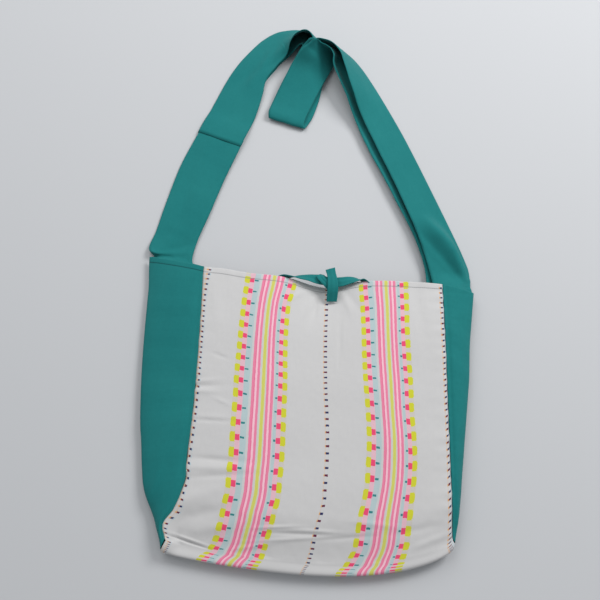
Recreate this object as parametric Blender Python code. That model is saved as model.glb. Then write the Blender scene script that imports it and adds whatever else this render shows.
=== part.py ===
"""Crossbody bag with a folded band strap, lying on its back as it was put down.

Metres, +Z up. +Y runs from the bag's base to its strap and +X to the right of a viewer who looks
down on the front. The lowest point is at z = 0, and the origin is under the middle of the outline.
"""

import math

import bpy
import numpy as np
from mathutils import Matrix, Vector
from mathutils.bvhtree import BVHTree

mm = 0.001

# The cloth
cloth_thickness = 1.0 * mm      # canvas, and the handloom cotton with its lining
seam_gap = 0.3 * mm             # clear air between two sewn pieces
drape_gap = 1.6 * mm            # clear air where the strap lies over itself
seam_level = 2 * mm             # both cloths lie level this far from their seam
foot_gap = 3 * mm               # a gusset's foot stops this short of the base's end
hem_depth = 9 * mm              # turned edge round the mouth, two cloths thick

# The bag, measured flat
panel_width = 346 * mm          # patterned cloth from seam to seam
panel_height = 376 * mm         # from the hem's left corner down to the base
gusset_width = 136 * mm         # side panel at the mouth
base_depth = 13 * mm            # how far the base bulges past the front's lower edge

# How it lies
lying_height = 25 * mm          # front cloth over the floor
left_gusset_show = 84 * mm      # spread out beside the front
right_gusset_show = 46 * mm     # folded nearly in half
foot_width = 48 * mm            # gusset at the foot, as wide as the base is deep
foot_flare = 26 * mm            # left seam swings out at the foot
hem_slant = 22 * mm             # the hem's right corner lies lower than its left one
mouth_dip = 13 * mm             # the ties pull the hem's middle down
dip_x = 36 * mm                 # where they do
dip_reach = 46 * mm             # half width of that dip
hem_pull = 9 * mm               # and they pull the hem towards the base
pull_reach = 40 * mm
base_sag = 30 * mm              # the base's middle hangs below its corners
front_swell = 2.0 * mm          # of the front's middle
foot_ridge = 1.2 * mm           # soft ridges near the base
left_taper = 6 * mm             # how far each seam leans in from hem to foot
right_taper = 13 * mm
left_fold_taper = 12 * mm       # and each side panel's fold
right_fold_taper = 56 * mm
foot_fold_in = 29 * mm          # the left fold turns in near the foot
left_fold_rise = 6 * mm         # the left fold's top lies above the hem's corner
right_fold_drop = 48 * mm       # the right fold's top lies below it
left_fold_height = 8 * mm       # heights of the folds off the floor, at the mouth and at the foot
right_fold_height = 12 * mm
foot_fold_height = 11 * mm
back_drop = 20 * mm             # the back's hem lies below the front's
back_rise = 12 * mm             # from the base's outermost line to where the back lies flat
least_tuck = 12 * mm            # of a gusset that turns under

# The strap, a band folded lengthwise
strap_width = 60 * mm            # each of its two layers, near enough
fold_radius = 0.8 * mm          # of the lengthwise crease
lap_depth = 12 * mm             # the two lengths lap at a cross seam
lap_step = 62 * mm              # between the route's stations at that seam
route_units = 60                # to the band's width: the route's numbers count these

# The ties
tie_width = 15 * mm
tie_thickness = 1.0 * mm
tie_units = 15                  # to the ribbon's width: the ties' stations count these
tie_origin = (36, 345, 25)      # the station that lies at the hem's middle

# The woven pattern: two bands of stripes and blocks, and a dotted line at each side and in the middle
band_starts = (51 * mm, 228 * mm)               # from the left seam to each band's left edge
band_width = 76 * mm
block_pitch = 16.5 * mm         # down the cloth
block_share = 0.6               # of the pitch that a block fills
dot_pitch = 9 * mm
dot_share = 0.45
dot_lines = (4 * mm, 173 * mm, 342 * mm)        # from the left seam
dot_width = 2 * mm

cloth_colour = (0.58, 0.57, 0.54)
pink = (0.72, 0.22, 0.32)
red_pink = (0.85, 0.09, 0.19)
yellow = (0.66, 0.66, 0.05)
lime = (0.60, 0.62, 0.13)
pale_blue = (0.48, 0.60, 0.65)
pale_pink = (0.74, 0.50, 0.58)
dot_colour = (0.10, 0.04, 0.07)
canvas_colour = (0.020, 0.200, 0.190)

# A band's stripes from its left edge: each one's width (mm), its colour, and its blocks' colour or None
band_stripes = [
    (7.4, cloth_colour, yellow),
    (7.3, pale_pink, red_pink),
    (8.7, pale_blue, canvas_colour),
    (2.3, cloth_colour, None),
    (4.0, pink, None),
    (3.2, cloth_colour, None),
    (3.6, pink, None),
    (2.7, cloth_colour, None),
    (5.1, lime, None),
    (2.1, cloth_colour, None),
    (3.6, pink, None),
    (1.9, pale_pink, None),
    (3.2, pink, None),
    (1.6, cloth_colour, None),
    (4.0, pale_blue, canvas_colour),
    (6.9, pale_pink, red_pink),
    (7.4, cloth_colour, yellow),
]

panel_middle = 34.5 * mm        # the front's centre line, from the camera's own line
panel_left = panel_middle - panel_width / 2
panel_right = panel_middle + panel_width / 2


def smooth(t):
    t = np.clip(t, 0, 1)
    return t * t * (3 - 2 * t)


def through(points, at):
    """Smooth curve through rows of values, the first of each row being where it holds."""
    rows = np.array(points, float)
    keys, values = rows[:, 0], rows[:, 1:]
    slopes = np.gradient(values, keys, axis=0)
    at = np.atleast_1d(at)
    left = np.clip(np.searchsorted(keys, at, side="right") - 1, 0, len(keys) - 2)
    step = (keys[left + 1] - keys[left])[:, None]
    t = (at - keys[left])[:, None] / step
    return (
        values[left] * (1 + 2 * t) * (1 - t) ** 2
        + slopes[left] * step * t * (1 - t) ** 2
        + values[left + 1] * t * t * (3 - 2 * t)
        + slopes[left + 1] * step * t * t * (t - 1)
    )


def bezier(a, b, c, d, t):
    t = np.asarray(t)[:, None]
    return a * (1 - t) ** 3 + 3 * b * t * (1 - t) ** 2 + 3 * c * t * t * (1 - t) + d * t ** 3


def material(name, colour, roughness=0.85):
    mat = bpy.data.materials.new(name)
    mat.use_nodes = True
    shader = mat.node_tree.nodes["Principled BSDF"]
    shader.inputs["Base Color"].default_value = (*colour, 1)
    shader.inputs["Roughness"].default_value = roughness
    shader.inputs["Metallic"].default_value = 0
    mat.diffuse_color = (*colour, 1)
    return mat


def weave_pattern(mat):
    """Colours the cotton by the distances across and down the cloth that its UV map holds, in metres."""
    nodes, links = mat.node_tree.nodes, mat.node_tree.links

    def math_node(operation, a, b):
        node = nodes.new("ShaderNodeMath")
        node.operation = operation
        for socket, value in zip(node.inputs, (a, b)):
            if isinstance(value, float):
                socket.default_value = value
            else:
                links.new(value, socket)
        return node.outputs["Value"]

    def stepped_ramp(position, stops):
        ramp = nodes.new("ShaderNodeValToRGB")
        ramp.color_ramp.interpolation = "CONSTANT"
        elements = ramp.color_ramp.elements
        elements.remove(elements[1])
        elements[0].color = stops[0][1]
        for at, colour in stops[1:]:
            elements.new(at).color = colour
        links.new(position, ramp.inputs["Fac"])
        return ramp.outputs

    def mix(mask, below, above):
        node = nodes.new("ShaderNodeMix")
        node.data_type = "RGBA"
        links.new(mask, node.inputs["Factor"])
        links.new(below, node.inputs["A"])
        links.new(above, node.inputs["B"])
        return node.outputs["Result"]

    def beats(pitch, share):
        place = math_node("FRACT", math_node("DIVIDE", down, pitch), 0.0)
        return math_node("LESS_THAN", place, share)

    place = nodes.new("ShaderNodeUVMap")
    place.uv_map = "cloth"
    split = nodes.new("ShaderNodeSeparateXYZ")
    links.new(place.outputs["UV"], split.inputs["Vector"])
    across, down = split.outputs["X"], split.outputs["Y"]

    # Both bands read one ramp, so the second band's distances are carried back to the first one's.
    first, second = band_starts
    past = math_node("GREATER_THAN", across, second - band_width / 4)
    folded = math_node("SUBTRACT", across, math_node("MULTIPLY", past, second - first))
    margin = band_width / 20
    span = band_width + 2 * margin
    in_band = math_node("DIVIDE", math_node("SUBTRACT", folded, first - margin), span)
    stripe_stops = [(0.0, (*cloth_colour, 1))]
    block_stops = [(0.0, (*cloth_colour, 0))]
    edge = margin
    for width, colour, block in band_stripes:
        stripe_stops.append((edge / span, (*colour, 1)))
        block_stops.append((edge / span, (*(block or colour), 1 if block else 0)))
        edge += width * mm
    stripe_stops.append((edge / span, (*cloth_colour, 1)))
    block_stops.append((edge / span, (*cloth_colour, 0)))
    stripes = stepped_ramp(in_band, stripe_stops)["Color"]
    blocks = stepped_ramp(in_band, block_stops)
    block_mask = math_node("MULTIPLY", beats(block_pitch, block_share), blocks["Alpha"])

    dot_stops = [(0.0, (*dot_colour, 0))]
    for line in dot_lines:
        dot_stops.append(((line - dot_width / 2) / panel_width, (*dot_colour, 1)))
        dot_stops.append(((line + dot_width / 2) / panel_width, (*dot_colour, 0)))
    dots = stepped_ramp(math_node("DIVIDE", across, panel_width), dot_stops)
    dot_mask = math_node("MULTIPLY", beats(dot_pitch, dot_share), dots["Alpha"])

    woven = mix(block_mask, stripes, blocks["Color"])
    woven = mix(dot_mask, woven, dots["Color"])
    links.new(woven, nodes["Principled BSDF"].inputs["Base Color"])


def quads(rows, columns):
    """Faces of a grid of points numbered row by row."""
    return [
        (r * columns + c, r * columns + c + 1, (r + 1) * columns + c + 1, (r + 1) * columns + c)
        for r in range(rows - 1)
        for c in range(columns - 1)
    ]


def sheet(name, grid, thickness, offset, mat, thick_rows=(), flip=False):
    """Cloth from a grid of points, rows by columns. offset is -1 for cloth inside the grid, 0 for centred.

    Its UV map holds the distances across and down the cloth in metres, from the grid's first column and row.
    """
    across, down = [
        np.insert(np.linalg.norm(np.diff(grid, axis=axis), axis=2).mean(1 - axis).cumsum(), 0, 0)
        for axis in (1, 0)
    ]
    if flip:
        grid = grid[:, ::-1]
        across = across[::-1]
    rows, columns = grid.shape[:2]
    mesh = bpy.data.meshes.new(name)
    mesh.from_pydata(grid.reshape(-1, 3).tolist(), [], quads(rows, columns))
    mesh.materials.append(mat)
    mesh.shade_smooth()
    cloth_map = mesh.uv_layers.new(name="cloth")
    for loop in mesh.loops:
        row, column = divmod(loop.vertex_index, columns)
        cloth_map.data[loop.index].uv = (across[column], down[row])
    obj = bpy.data.objects.new(name, mesh)
    bpy.context.collection.objects.link(obj)
    solid = obj.modifiers.new("cloth thickness", "SOLIDIFY")
    solid.thickness = thickness
    solid.offset = offset
    if len(thick_rows):
        group = obj.vertex_groups.new(name="hem")
        weights = np.full(rows, 0.5)
        weights[list(thick_rows)] = 1
        for r in range(rows):
            group.add(range(r * columns, (r + 1) * columns), float(weights[r]), "REPLACE")
        solid.thickness = 2 * thickness
        solid.vertex_group = "hem"
    return obj


# The bag's outline. v runs from the hem, 0, to the front's lower corner line, 1.

def left_seam(v):
    x = panel_left - left_taper * v - foot_flare * smooth((v - 0.78) / 0.17)
    return x, lying_height - 1 * mm - 3 * mm * smooth((v - 0.85) / 0.15)


def right_seam(v):
    x = panel_right - right_taper * v
    return x, lying_height + 1 * mm - 4 * mm * smooth((v - 0.85) / 0.15) - 4 * mm * smooth(1 - v / 0.2)


def corner_y(u):
    """The front's lower edge, where the cloth turns under as the base."""
    return -9 * mm - base_sag * np.sin(math.pi * np.clip(u, 0, 1) ** 1.5) ** 0.5


def hem_y(u):
    slant = panel_height - hem_depth - hem_slant * u ** 0.7
    x = panel_left + u * panel_width
    return slant - hem_pull * np.exp(-(((x - dip_x) / pull_reach) ** 2))


def front_z(x, y, u, v):
    """Height of the front's face: nearly flat, drawn down at the tie and softly ridged at the foot."""
    edge = (1 - u) * left_seam(v)[1] + u * right_seam(v)[1]
    swell = front_swell * np.sin(math.pi * u) * np.sin(math.pi * np.clip(v, 0, 1)) ** 0.5
    dip = mouth_dip * np.exp(-(((x - dip_x) / dip_reach) ** 2)) * np.exp(-v * panel_height / (70 * mm))
    ridge = foot_ridge * smooth((v - 0.55) / 0.4) * np.sin(9 * u + 5 * v) * np.sin(math.pi * u)
    return edge + swell - dip + ridge


def front_point(u, v):
    x = (1 - u) * left_seam(v)[0] + u * right_seam(v)[0]
    y = (1 - v) * hem_y(u) + v * corner_y(u)
    return np.stack([x, y, front_z(x, y, u, v)], -1)


def base_y(u):
    """The base's outermost line, part of the bag's outline as it lies."""
    return corner_y(u) - base_depth * (1 - 0.6 * u ** 6)


def crease_left(v):
    """The left gusset's outer fold, from its top to the foot."""
    foot_in = foot_fold_in * smooth((v - 0.78) / 0.22) ** 1.3
    x = panel_left - left_gusset_show + left_fold_taper * v ** 2.5 + foot_in
    y = (panel_height + left_fold_rise) * (1 - v) + base_y(0.0) * v
    return np.stack([x, y, (1 - v) * left_fold_height + v * foot_fold_height], -1)


def crease_right(v):
    x = panel_right + right_gusset_show - right_fold_taper * v
    y = (panel_height - right_fold_drop) * (1 - v) + base_y(1.0) * v
    return np.stack([x, y, (1 - v) * right_fold_height + v * foot_fold_height], -1)


def gusset_lines(v, side):
    """Front seam, crease and back seam of the gusset on side -1 or 1. What the front shows less, the back has more."""
    v = np.atleast_1d(np.asarray(v, float))
    front = front_point(np.full_like(v, (side + 1) / 2), v)
    crease = (crease_left if side < 0 else crease_right)(v)
    width = gusset_width - (gusset_width - foot_width) * v ** 1.5
    over = np.linalg.norm(crease - front, axis=-1) + crease[:, 2]
    x = crease[:, 0] - side * np.maximum(width - over, least_tuck)
    top_y = front[0, 1] - back_drop
    y = top_y * (1 - v) + (base_y((side + 1) / 2) + back_rise) * v
    return front, crease, np.stack([x, y, np.zeros_like(v)], -1)


def round_section(front, crease, back, steps):
    """From the front out over the crease and back under to the back, as two cubic arcs of steps points each."""
    out = crease - front
    out[2] = 0
    out /= np.linalg.norm(out)
    lift = np.array([0, 0, 0.6 * crease[2]])
    t = np.linspace(0, 1, steps)
    reach, under = np.linalg.norm(crease - front), np.linalg.norm(back - crease)
    level = out * seam_level
    upper = bezier(front + level, front + out * reach / 2, crease + lift, crease, t)
    lower = bezier(crease, crease - lift, back + out * under / 2, back + level, t)
    return np.concatenate([front[None], upper, lower[1:], back[None]])


hem_share = hem_depth / panel_height
seam_rows = np.concatenate([
    np.linspace(0, hem_share, 3), np.linspace(hem_share, 0.76, 11)[1:], np.linspace(0.76, 1, 10)[1:],
])


def gusset(name, side, mat):
    """Folded side panel, from its hem down to the point where it meets the base's end."""
    grid = np.array([round_section(f, c, b, 8) for f, c, b in zip(*gusset_lines(seam_rows, side))])
    last = foot_gap / panel_height / (1 - seam_rows[-2])
    grid[-1] += (grid[-2] - grid[-1]) * last
    return sheet(name, grid, cloth_thickness, -1, mat, thick_rows=range(3), flip=side > 0)


def body_cloth(name, mat):
    """Front, base and back in one piece: down the front, round under the base and up the back."""
    us = np.linspace(0, 1, 23)
    down = seam_rows
    back_left, back_right = gusset_lines(down, -1)[2], gusset_lines(down, 1)[2]
    foot_left, foot_right = crease_left(np.array([1.0]))[0], crease_right(np.array([1.0]))[0]
    columns = []
    for u in us:
        front = front_point(np.full_like(down, u), down)
        base = foot_left * (1 - u) + foot_right * u
        base[1] = base_y(u)
        back = back_left * (1 - u) + back_right * u
        back[:, 1] += (base_y(u) + back_rise - back[-1, 1]) * down
        turn = round_section(front[-1], base, back[-1], 6)
        columns.append(np.concatenate([front, turn[1:], back[::-1][1:]]))
    grid = np.stack(columns, 1)
    grid[:, 0, 0] += seam_gap
    grid[:, -1, 0] -= seam_gap
    rows = len(grid)
    return sheet(name, grid, cloth_thickness, -1, mat, thick_rows=[0, 1, 2, rows - 3, rows - 2, rows - 1], flip=True)


# The strap's route, from the left gusset to the right one. Each station holds the x and y of its
# lengthwise crease and its height off the floor, the bearing and the lift of the band from that
# crease and how far its two layers open (degrees), and what the first and second layer are wider
# than the band's width. Lengths are in route units, a millimetre each for a band of 60 mm. The band
# stands on its crease at the two tight turns.
route = [
    (-209, 366.5, 2.6, -17, 0, 0, -2, -2),
    (-218, 389, 2.4, -17, 0, 0, 4, -2),
    (-226, 406, 0.6, -17, 0, 0, 7, -2),
    (-218, 436, 0, -17, 0, 0, 5, -2),
    (-207, 482, 0, -18, 0, 0, 10, -2),
    (-188, 550, 0, -21, 0, 0, 14, -2),
    (-163, 610, 0, -22, 0, 0, 13, -2),
    (-139, 669, 0, -25, 0, 0, 12, -2),
    (-121, 712, 0, -27, 1, 2, 6, -2),
    (-103, 746, 0, -36, 2, 4, -2, -4),
    (-81, 776, 0, -46, 4, 6, -2, -4),
    (-62, 797, 0, -56, 6, 8, 0, -4),
    (-40, 812, 0, -70, 10, 10, 0, -4),
    (-20, 817, 0, -86, 17, 12, 0, -4),
    (-3, 818, 0, -99, 26, 15, 2, -4),
    (12, 814, 0, -107, 37, 18, 2, -6),
    (25, 804, 0, -112, 44, 22, 0, -8),
    (34, 790, 0, -119, 33, 20, -2, -8),
    (40, 769, 0, -140, 8, 8, -2, -6),
    (42, 746, 0, -160, 2, 2, 0, -2),
    (40, 722, 0, -172, 0, 0, 0, 0),
    (35, 696, 0, -180, 0, 0, 0, 0),
    (29, 670, 0, -188, 0, 0, 0, 0),
    (20, 642, 0, -195, 0, 0, 0, 0),
    (12, 626, 0, -199, 0, 0, 0, 0),
    (6, 617, 3, -200, 0, 0, 0, 0),
    (5, 625, 6.2, -201, 0, 0, 0, 0),
    (12, 645, 6.2, -203, 0, 0, 0, 0),
    (25, 674, 7.5, -204, 4, 1, 0, 0),
    (38, 701, 8.5, -205, 11, 2, 0, 0),
    (48, 722, 6.5, -204, 27, 5, 0, 0),
    (55, 740, 3.0, -197, 42, 7, 0, -2),
    (61, 757, 0.6, -180, 51, 8, -1, -2),
    (66, 770, 0, -158, 54, 10, -2, -2),
    (73, 775, 0, -136, 56, 12, -2, -2),
    (84, 763, 0, -133, 50, 16, -2, 0),
    (95, 747, 0, -144, 42, 20, -2, 2),
    (109, 724, 0, -153, 34, 22, -2, 2),
    (129, 684, 0, -161, 24, 18, -4, 2),
    (148, 642, 0, -161, 9, 14, -8, 2),
    (166, 600, 0, -159, 6, 12, -8, 4),
    (185, 551, 0, -158, 6, 12, -8, 2),
    (205, 497, 0, -158, 6, 12, -8, 0),
    (225, 442, 0, -158, 6, 12, -6, -2),
    (243, 390, 0, -161, 5, 10, -2, 2),
    (252, 352, 0.8, -168, 4, 8, 0, 8),
    (243, 334, 4.2, -170, 1, 3, -4, 2),
    (236, 320, 6.2, -170, 0, 2, -10, -4),
]
route_left_end = (-222.5, 382)                  # the mouth's corners that the route was drawn between
route_right_end = (253.5, 324)
lap_station = 6                                 # the cross seam that joins the strap's two lengths
turn_stations = (17, 24)                        # where the band lies under its own return
layer_steps = 5                                 # faces across each layer


def route_at(s):
    """The route's stations at the fractional indices s, carried along with the mouth's two corners.

    A wider band takes wider turns.
    """
    stations = np.array(route, float)
    keyed = np.column_stack([np.arange(len(stations)), stations])
    rows = through(keyed, s)
    share = (np.asarray(s) / (len(stations) - 1))[:, None]
    unit = strap_width / route_units
    left = crease_left(np.array([0.0]))[0][:2] - np.array(route_left_end) * unit
    right = crease_right(np.array([0.0]))[0][:2] - np.array(route_right_end) * unit
    place = rows[:, :3] * unit
    place[:, :2] += left * (1 - share) + right * share
    return place, np.radians(rows[:, 3:6]), strap_width + rows[:, 6:8] * unit


def strap_grid(s, wrap, raised):
    """Folded band at the stations s: first layer, crease, second layer. wrap widens the fold round another one."""
    place, angles, widths = route_at(s)
    place[:, 2] += raised
    bearing, lift, open_angle = angles.T
    out = np.stack([np.cos(bearing) * np.cos(lift), np.sin(bearing) * np.cos(lift), np.sin(lift)], -1)
    radius = fold_radius + cloth_thickness / 2 + wrap
    place[:, 2] = np.maximum(place[:, 2], 0) + radius + cloth_thickness / 2
    middle = place + out * strap_width / 2
    along = np.gradient(middle, axis=0)
    across = np.cross(out, along)
    across /= np.linalg.norm(across, axis=1)[:, None]
    half = open_angle[:, None] / 2
    q = np.linspace(0, 1, layer_steps + 1)
    columns = []
    for sign, layer in ((1, 0), (-1, 1)):
        run = out * np.cos(half) + sign * across * np.sin(half)
        root = place + sign * across * radius[:, None]
        points = [root + run * widths[:, layer, None] * t for t in q]
        columns.append(points)
    turn = [
        place + radius[:, None] * (across * math.cos(a) - out * math.sin(a))
        for a in (math.pi / 4, math.pi / 2, 3 * math.pi / 4)
    ]
    grid = np.stack(columns[0][::-1] + turn + columns[1], 1)
    grid[:, :, 2] = np.maximum(grid[:, :, 2], cloth_thickness / 2)
    return grid


def drape(grid, over, clearance):
    """Raises the points of grid that lie over other cloth until they clear it, and their neighbours with them."""
    rows, columns = over.shape[:2]
    tree = BVHTree.FromPolygons(over.reshape(-1, 3).tolist(), quads(rows, columns))
    down = Vector((0, 0, -1))
    lifts = np.zeros(grid.shape[:2])
    for r in range(grid.shape[0]):
        for c in range(grid.shape[1]):
            x, y, z = grid[r, c]
            hit = tree.ray_cast(Vector((x, y, 1.0)), down)[0]
            if hit:
                lifts[r, c] = max(0, hit.z + clearance - z)
    lifts = np.maximum(lifts, lifts[:, ::-1])
    for _ in range(3):
        padded = np.pad(lifts, 1, mode="edge")
        along = (padded[:-2, 1:-1] + padded[2:, 1:-1]) / 2
        across = (padded[1:-1, :-2] + padded[1:-1, 2:]) / 2
        lifts = np.maximum(lifts, (along + across) / 2)
    raised = grid.copy()
    raised[:, :, 2] += lifts
    return raised


def strap(mat):
    lap_end = lap_station + lap_depth / lap_step
    one_cloth = cloth_thickness + seam_gap
    s = np.concatenate([np.arange(0, lap_station, 0.5), [lap_station - 0.1, lap_end]])
    short = strap_grid(s, np.zeros_like(s), one_cloth * smooth((s - lap_station + 0.8) / 0.7))
    s = np.concatenate([[lap_station, lap_end + 0.1], np.arange(lap_station + 0.5, len(route) - 0.9, 0.5)])
    long = strap_grid(s, one_cloth * (1 - smooth((s - lap_end - 0.1) / 0.5)), 0)
    under = (s > turn_stations[0] - 2) & (s < turn_stations[1] - 0.5)
    upper = (s > turn_stations[1] + 1.5) & (s < turn_stations[1] + 10)
    long[upper] = drape(long[upper], long[under], cloth_thickness + drape_gap)
    sheet("strap_short", short, cloth_thickness, 0, mat)
    sheet("strap_long", long, cloth_thickness, 0, mat)


# The ties, one from each side of the mouth, crossed at the hem's middle. Each station holds the x, y
# and height of the ribbon's middle (in tie units, a millimetre each for a ribbon of 15 mm), the bearing
# and lift of its width (degrees), and its width as a share of the nominal one. The left one goes over
# the right one and hangs down over the front.
tie_left_route = [
    (-58, 345, 9, 90, 0, 1),
    (-41, 352, 12, 90, 5, 1),
    (-27, 359, 10.5, 90, 0, 1),
    (-14, 362.5, 15.5, 90, -38, 1),
    (0, 357, 19, 90, -45, 1),
    (12, 351.5, 21, 88, -30, 1),
    (22, 348, 23, 84, -10, 1),
    (30, 346, 24.5, 90, 0, 1),
    (37, 343.5, 26, 100, 0, 1),
    (42, 341, 27, 118, 0, 1.15),
    (45.5, 337.5, 28.2, 140, 0, 1.35),
    (46, 331, 28.6, 165, 0, 1.1),
    (46, 325, 27, 180, 0, 1),
    (46, 317, 22.5, 180, 0, 1),
    (46, 311, 18.8, 180, 0, 1),
]
tie_right_route = [
    (135, 340, 9, 90, 0, 1),
    (121, 345, 12, 90, 0, 1),
    (109, 351, 13, 90, -15, 1),
    (97, 357, 14.5, 90, -35, 1),
    (85, 355.5, 17, 90, -45, 1),
    (74, 350.5, 18.5, 90, -30, 1),
    (64, 347, 19, 90, -8, 1),
    (55, 345.5, 19.5, 93, 0, 1),
    (49, 345.8, 19.8, 108, 0, 1.05),
    (45, 347.5, 20.5, 130, 0, 1.3),
    (44, 350.5, 21.6, 155, 0, 1.2),
    (44.5, 354, 23, 175, 0, 1),
    (45.5, 357.5, 25, 180, 0, 1),
    (47, 361, 27.5, 178, 0, 1),
]


def tie(name, stations, mat):
    """Flat ribbon along its stations, which stay with the hem's middle and widen with the ribbon."""
    keyed = np.column_stack([np.arange(len(stations)), np.array(stations, float)])
    rows = through(keyed, np.arange(0, len(stations) - 0.9, 0.5))
    bearing, lift = np.radians(rows[:, 3:5]).T
    across = np.stack([np.cos(bearing) * np.cos(lift), np.sin(bearing) * np.cos(lift), np.sin(lift)], -1)
    half = (rows[:, 5] * tie_width / 2)[:, None]
    hem = np.array([dip_x, panel_height - hem_slant - hem_depth, lying_height])
    middle = hem + (rows[:, :3] - np.array(tie_origin)) * (tie_width / tie_units)
    grid = np.stack([middle - across * half, middle, middle + across * half], 1)
    sheet(name, grid, tie_thickness, 0, mat)


def centre_outline():
    """Moves every piece so that the origin lies under the middle of the outline. Returns the move."""
    corners = []
    graph = bpy.context.evaluated_depsgraph_get()
    for obj in bpy.data.objects:
        mesh = obj.evaluated_get(graph).to_mesh()
        corners += [vertex.co.copy() for vertex in mesh.vertices]
    corners = np.array(corners)
    low, high = corners.min(0), corners.max(0)
    move = Vector((-(low[0] + high[0]) / 2, -(low[1] + high[1]) / 2, -low[2]))
    for obj in bpy.data.objects:
        obj.data.transform(Matrix.Translation(move))
    return move


for old in list(bpy.data.objects):
    bpy.data.objects.remove(old)

canvas = material("teal canvas", canvas_colour)
cotton = material("handloom cotton", cloth_colour)
weave_pattern(cotton)
body_cloth("body_cloth", cotton)
gusset("gusset_left", -1, canvas)
gusset("gusset_right", 1, canvas)
strap(canvas)
tie("tie_left", tie_left_route, canvas)
tie("tie_right", tie_right_route, canvas)
layout_shift = centre_outline()
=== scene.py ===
import math

import bpy
import numpy as np
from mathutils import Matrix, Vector
from mathutils.bvhtree import BVHTree


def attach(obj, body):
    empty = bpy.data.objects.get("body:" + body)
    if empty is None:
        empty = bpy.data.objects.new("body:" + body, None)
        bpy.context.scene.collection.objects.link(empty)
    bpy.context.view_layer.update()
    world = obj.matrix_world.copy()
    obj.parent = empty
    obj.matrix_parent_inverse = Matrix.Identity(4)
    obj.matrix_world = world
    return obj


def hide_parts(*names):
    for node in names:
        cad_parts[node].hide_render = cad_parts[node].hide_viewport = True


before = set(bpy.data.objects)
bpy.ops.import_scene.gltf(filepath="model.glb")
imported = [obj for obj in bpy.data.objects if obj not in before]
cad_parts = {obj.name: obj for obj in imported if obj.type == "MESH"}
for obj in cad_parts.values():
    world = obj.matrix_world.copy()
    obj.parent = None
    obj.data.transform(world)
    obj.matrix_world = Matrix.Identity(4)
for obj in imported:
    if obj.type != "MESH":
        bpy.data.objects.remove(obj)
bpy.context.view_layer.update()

mm = 0.001
layoutShift = np.array([-13.01, -384.69, 0.0]) * mm  # from the bag's drawing to the row's frame
clothThickness = 1.0 * mm
seamGap = 0.3 * mm  # between sewn pieces
threadRise = 0.12 * mm  # of the weave, in the materials' bump


# Shared helpers

def smooth(t):  # S-shaped rise from 0 at t = 0 to 1 at t = 1
    t = np.clip(t, 0, 1)
    return t * t * (3 - 2 * t)


def bell(x, centre, width):  # bell curve, 1 at the centre and 0.37 at a width from it
    return np.exp(-(((x - centre) / width) ** 2))


def through(rows, at):  # cubic curve through rows of values, keyed by their first number
    rows = np.array(rows, float)
    keys, values = rows[:, 0], rows[:, 1:]
    slopes = np.gradient(values, keys, axis=0)
    at = np.atleast_1d(at)
    left = np.clip(np.searchsorted(keys, at, side="right") - 1, 0, len(keys) - 2)
    step = (keys[left + 1] - keys[left])[:, None]
    t = (at - keys[left])[:, None] / step
    return (
        values[left] * (1 + 2 * t) * (1 - t) ** 2
        + slopes[left] * step * t * (1 - t) ** 2
        + values[left + 1] * t * t * (3 - 2 * t)
        + slopes[left + 1] * step * t * t * (t - 1)
    )


def bezier(a, b, c, d, t):  # a, b, c, d hold one point a row; t runs along a new middle axis
    t = np.asarray(t)[None, :, None]
    a, b, c, d = a[:, None], b[:, None], c[:, None], d[:, None]
    return a * (1 - t) ** 3 + 3 * b * t * (1 - t) ** 2 + 3 * c * t * t * (1 - t) + d * t ** 3


# Sum of plane sine waves in random directions, from the longest to the shortest length, about -1 to 1.
def ripples(x, y, seed, waves, longest, shortest):
    random = np.random.default_rng(seed)
    total = np.zeros(np.broadcast(x, y).shape)
    for length in np.geomspace(longest, shortest, waves):
        angle, phase = random.uniform(0, 2 * math.pi, 2)
        total += np.sin((x * math.cos(angle) + y * math.sin(angle)) * 2 * math.pi / length + phase)
    return total / math.sqrt(waves)


def gridNormals(grid):  # cross product of the steps across and down, made a unit long
    across = np.gradient(grid, axis=1)
    down = np.gradient(grid, axis=0)
    normal = np.cross(across, down)
    return normal / np.maximum(np.linalg.norm(normal, axis=2), 1e-12)[..., None]


def gridQuads(grid, flip=False):  # each cell's four corners, as numbers of points counted row by row
    rows, columns = grid.shape[:2]
    at = np.arange(rows * columns).reshape(rows, columns)
    corners = [at[:-1, :-1], at[:-1, 1:], at[1:, 1:], at[1:, :-1]]
    if flip:
        corners.reverse()
    return np.stack(corners, -1).reshape(-1, 4)


# One cloth: a grid of points, its flat lengths as UV map, and its thickness, which can differ from row to
# row.
def clothPiece(name, grid, mat, node, thickness, offset=-1, flip=False, printed=None, rowShare=None):
    quads = gridQuads(grid, flip)
    mesh = bpy.data.meshes.new(name)
    mesh.from_pydata((grid + layoutShift).reshape(-1, 3).tolist(), [], quads.tolist())
    mesh.materials.append(mat)
    mesh.shade_smooth()
    steps = [np.linalg.norm(np.diff(grid, axis=axis), axis=2).mean(1 - axis) for axis in (1, 0)]
    across, down = [np.insert(s.cumsum(), 0, 0) for s in steps]
    cloth = np.stack(np.meshgrid(across, down), -1).reshape(-1, 2)
    mesh.uv_layers.new(name="cloth").data.foreach_set("uv", cloth[quads.ravel()].ravel())
    if printed is not None:
        inPrint = printed.reshape(-1, 2)[quads.ravel()]
        mesh.uv_layers.new(name="print").data.foreach_set("uv", inPrint.ravel())
    piece = bpy.data.objects.new(name, mesh)
    bpy.context.scene.collection.objects.link(piece)
    solid = piece.modifiers.new("thickness", "SOLIDIFY")
    solid.thickness = thickness
    solid.offset = offset
    if rowShare is not None:
        group = piece.vertex_groups.new(name="hem")
        shares = np.repeat(rowShare, grid.shape[1])
        for share in np.unique(shares):
            group.add(np.flatnonzero(shares == share).tolist(), float(share), "REPLACE")
        solid.vertex_group = "hem"
    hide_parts(node)
    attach(piece, "root")
    return piece


# Materials

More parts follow.
